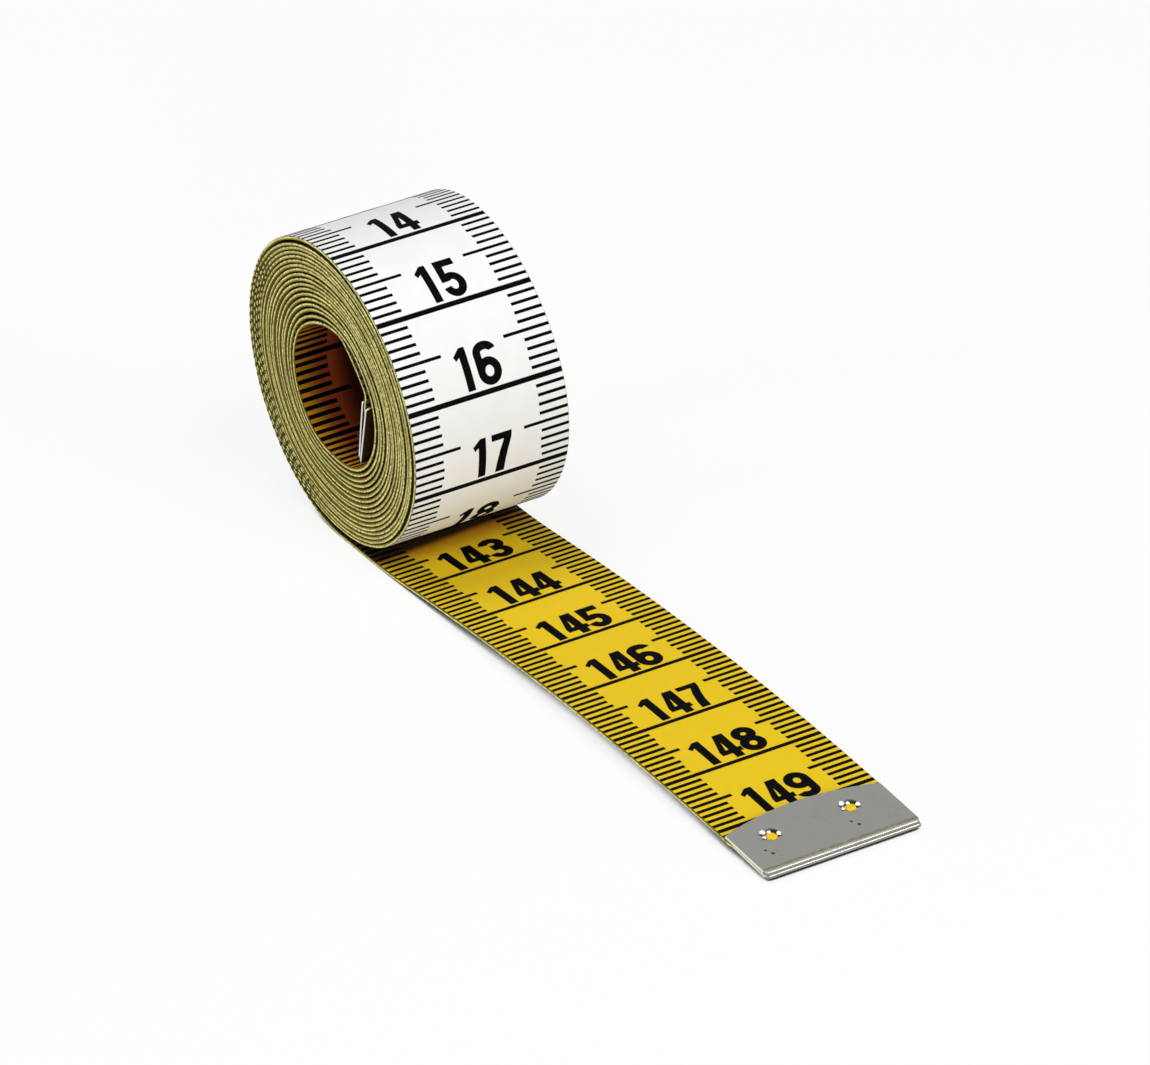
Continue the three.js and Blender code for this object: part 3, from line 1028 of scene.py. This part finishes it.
def clipMesh(splay):
    whole = bmesh.new()
    whole.from_mesh(thicken(sheetMesh(splay), clip["sheet"], clip["bevel"]))
    for px, py in clip["pierced"]:
        for x, y, radius in clip["curls"]:
            back = legLength(py + y) + px + x
            lift = clip["half"] + splay * (1 - back / legLength(py + y)) + radius * clip["curlLift"]
            addDome(whole, px + x, py + y, lift, radius, radius * clip["curlFlat"], clip["curlLobes"])
    mesh = bpy.data.meshes.new("clip")
    whole.to_mesh(mesh)
    whole.free()
    mesh.materials.clear()
    mesh.materials.append(clipMetal)
    clipPlace = mesh.attributes.new("clipPlace", "FLOAT_VECTOR", "POINT")
    tornFrom, tornFull = (clip["half"] + rise for rise in clip["tornRise"])
    for item, vertex in zip(clipPlace.data, mesh.vertices):
        x, y, z = vertex.co
        height = z - splay * min(1, max(0, -x / clip["length"]))
        # painted shade in the hollows of the dents, on the top leg only
        dark = pressed(x, y)[1] if 0 < height < tornFrom else 0
        if abs(y - clip["slip"] * (z < 0)) > clip["width"] / 2 - clip["sideBand"]:
            height = tornFull  # the cut sides are bright like the torn metal
        item.vector = (x, height, dark)
    return mesh


clipMetal = clipFinish()


def bossMesh(placeOf, lift):
    # the yellow coat that bulges up through each torn hole
    shell = bmesh.new()
    wide, tall = clip["boss"]
    for px, py in clip["pierced"]:
        addDome(shell, px, py, clip["half"] - clip["bossSink"] + lift, wide, tall, clip["bossLobes"])
    mesh = bpy.data.meshes.new("boss")
    shell.to_mesh(mesh)
    shell.free()
    flatPlace = mesh.attributes.new("flatPlace", "FLOAT_VECTOR", "POINT")
    for item, vertex in zip(flatPlace.data, mesh.vertices):
        item.vector = (placeOf(vertex.co.x), vertex.co.y, tape["thickness"] / 2)
    mesh.materials.append(tapeCoat)
    return mesh


def endFrame(place, sign):
    # axes at a tape end: X out along the tape, Z towards the yellow face
    at = windPoint(place, 0, 0)
    up = (windPoint(place, 0, 1) - at).normalized()
    out = (at - windPoint(place - sign * 2, 0, 0)).normalized()
    out = (out - up * out.dot(up)).normalized()
    turned = Matrix((out, up.cross(out), up)).transposed().to_4x4()
    return Matrix.Translation(at) @ turned @ Matrix.Scale(mm, 4)


for name, place, sign, splay, aside, body, node in (
        ("outerClip", tape["tipInset"], -1, 0, clip["aside"], "free_7", "outer_end_clip"),
        ("innerClip", tapeEnd, 1, clip["splay"], 0, "inner_end", "inner_end_clip")):
    seat = endFrame(place, sign) @ Matrix.Translation((0, aside, 0))
    metal = clipMesh(splay)
    metal.transform(seat)
    piece = addPiece(name, metal)
    boss = bossMesh(lambda x: place + sign * x, splay * clip["bossSplay"])
    boss.transform(seat)
    bulges = addPiece(name + "TapeBulge", boss)
    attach(piece, body)
    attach(bulges, body)
    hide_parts(node)
print("clips folded")


# floor, light and camera

studio = {
    "ambient": 0.25,
    "floorTone": (0.5, 0.5, 0.5, 1),  # as the object's light sees it
    "behind": 0.2,         # share of the world's and the floor's light that comes from behind
    "floorBehind": (0.012, 0.03),   # along Y, where that starts
    "worldBehind": (-0.1, 0.4),
    "floorReach": 6.0,
    "floorDrop": 0.01,
    "floorGlow": 0.83,     # share of plain white in what the camera sees, the rest takes the shadow
    "contact": (0.004, 0.27, 0.4),  # reach of the painted contact shadow under the tape, and where it starts and ends
    "contactShadowTone": (0.05, 0.03, 0.03, 1),
    "lamps": {             # place, size, power
        "key": ((0.425, 0.085, 0.73), 0.45, 2.35),
        "top": ((-0.255, -0.128, 0.80), 0.45, 2.6),
        "front": ((0.66, 0.36, 0.16), 0.35, 2.55),
        "side": ((0.69, -0.30, 0.27), 0.16, 0.76),
        "end": ((-0.12, -0.75, 0.27), 0.35, 1.27),
    },
}


def addLamp(name, place, size, power):
    lamp = bpy.data.lights.new(name, "AREA")
    lamp.shape = "DISK"
    lamp.size = size
    lamp.energy = power
    lampObject = bpy.data.objects.new(name, lamp)
    lampObject.location = place
    lampObject.rotation_euler = (-Vector(place)).to_track_quat("-Z", "Y").to_euler()
    bpy.context.scene.collection.objects.link(lampObject)


def seenRay(m):
    ray = m.node("ShaderNodeLightPath", out="Is Camera Ray")
    mirrored = m.math("MAXIMUM", ray.also("Is Glossy Ray"), ray.also("Is Transmission Ray"))
    return m.math("MAXIMUM", ray, mirrored)


def makeFloor():
    mesh = bpy.data.meshes.new("floor")
    reach = studio["floorReach"]
    corners = [(-reach, -reach, 0), (reach, -reach, 0), (reach, reach, 0), (-reach, reach, 0)]
    mesh.from_pydata(corners, [], [(0, 1, 2, 3)])
    finish, shader, m = newFinish("paleFloor")
    seen = seenRay(m)
    spot = m.node("ShaderNodeTexCoord", out="Object")
    behind = m.ease(m.node("ShaderNodeSeparateXYZ", {}, {"Vector": spot}, out="Y"), *studio["floorBehind"])
    tone = m.node("ShaderNodeHueSaturation", {}, {"Value": 1 - behind * (1 - studio["behind"]),
                                                  "Color": studio["floorTone"]})
    # painted contact shadow: the floor darkens where the tape is close above it
    near, shut, free = studio["contact"]
    sky = m.node("ShaderNodeAmbientOcclusion", {"samples": 16}, {"Distance": near}, out="AO")
    clear = m.ease(sky, shut, free)
    tone = m.mixColour(seen, tone, m.mixColour(clear, studio["contactShadowTone"], (1, 1, 1, 1)))
    plug(m, shader, {"Base Color": tone, "Roughness": 0.9, "Specular IOR Level": 0.0})
    glow = m.node("ShaderNodeEmission", {}, {"Color": (1, 1, 1, 1), "Strength": 1.0})
    plain = Wire(m, shader.outputs[0])
    mixed = m.node("ShaderNodeMixShader", {}, {0: seen * clear * studio["floorGlow"], 1: plain, 2: glow})
    m.tree.links.new(mixed.socket, m.tree.nodes["Material Output"].inputs["Surface"])
    mesh.materials.append(finish)
    floor = bpy.data.objects.new("floor", mesh)
    floor.location.z = -studio["floorDrop"] * mm
    bpy.context.scene.collection.objects.link(floor)


def makeWorld():
    world = bpy.data.worlds.new("studio")
    world.use_nodes = True
    m = NodeMaker(world.node_tree)
    way = m.node("ShaderNodeTexCoord", out="Generated")
    behind = m.ease(m.node("ShaderNodeSeparateXYZ", {}, {"Vector": way}, out="Y"), *studio["worldBehind"])
    dim = studio["ambient"] * (1 - behind * (1 - studio["behind"]))
    strength = dim + seenRay(m) * (1 - dim)
    plug(m, world.node_tree.nodes["Background"], {"Color": (1, 1, 1, 1), "Strength": strength})
    bpy.context.scene.world = world


view = {
    "imageWidth": 1150,
    "azimuth": 58.86,
    "elevation": 30.05,
    "tilt": -1.30,
    "focalPixels": 10079,
    "distance": 1076.99,
    "target": (-20.03, 11.52, 0.42),
}


def makeCamera():
    a, e, tilt = (math.radians(view[name]) for name in ("azimuth", "elevation", "tilt"))
    back = Vector((math.sin(a) * math.cos(e), -math.cos(a) * math.cos(e), math.sin(e)))
    right = Vector((math.cos(a), math.sin(a), 0))
    up = back.cross(right)
    tilted = right * math.cos(tilt) + up * math.sin(tilt)
    lens = bpy.data.cameras.new("camera")
    lens.sensor_width = 36
    lens.lens = view["focalPixels"] * lens.sensor_width / view["imageWidth"]
    lens.clip_start = 0.05
    lens.clip_end = 20
    camera = bpy.data.objects.new("camera", lens)
    turned = Matrix((tilted, back.cross(tilted), back)).transposed().to_4x4()
    camera.matrix_world = Matrix.Translation((Vector(view["target"]) + back * view["distance"]) * mm) @ turned
    bpy.context.scene.collection.objects.link(camera)
    bpy.context.scene.camera = camera


makeFloor()
makeWorld()
for name, lamp in studio["lamps"].items():
    addLamp(name, *lamp)
makeCamera()
bpy.context.scene.view_settings.view_transform = "Standard"
print("stage set")
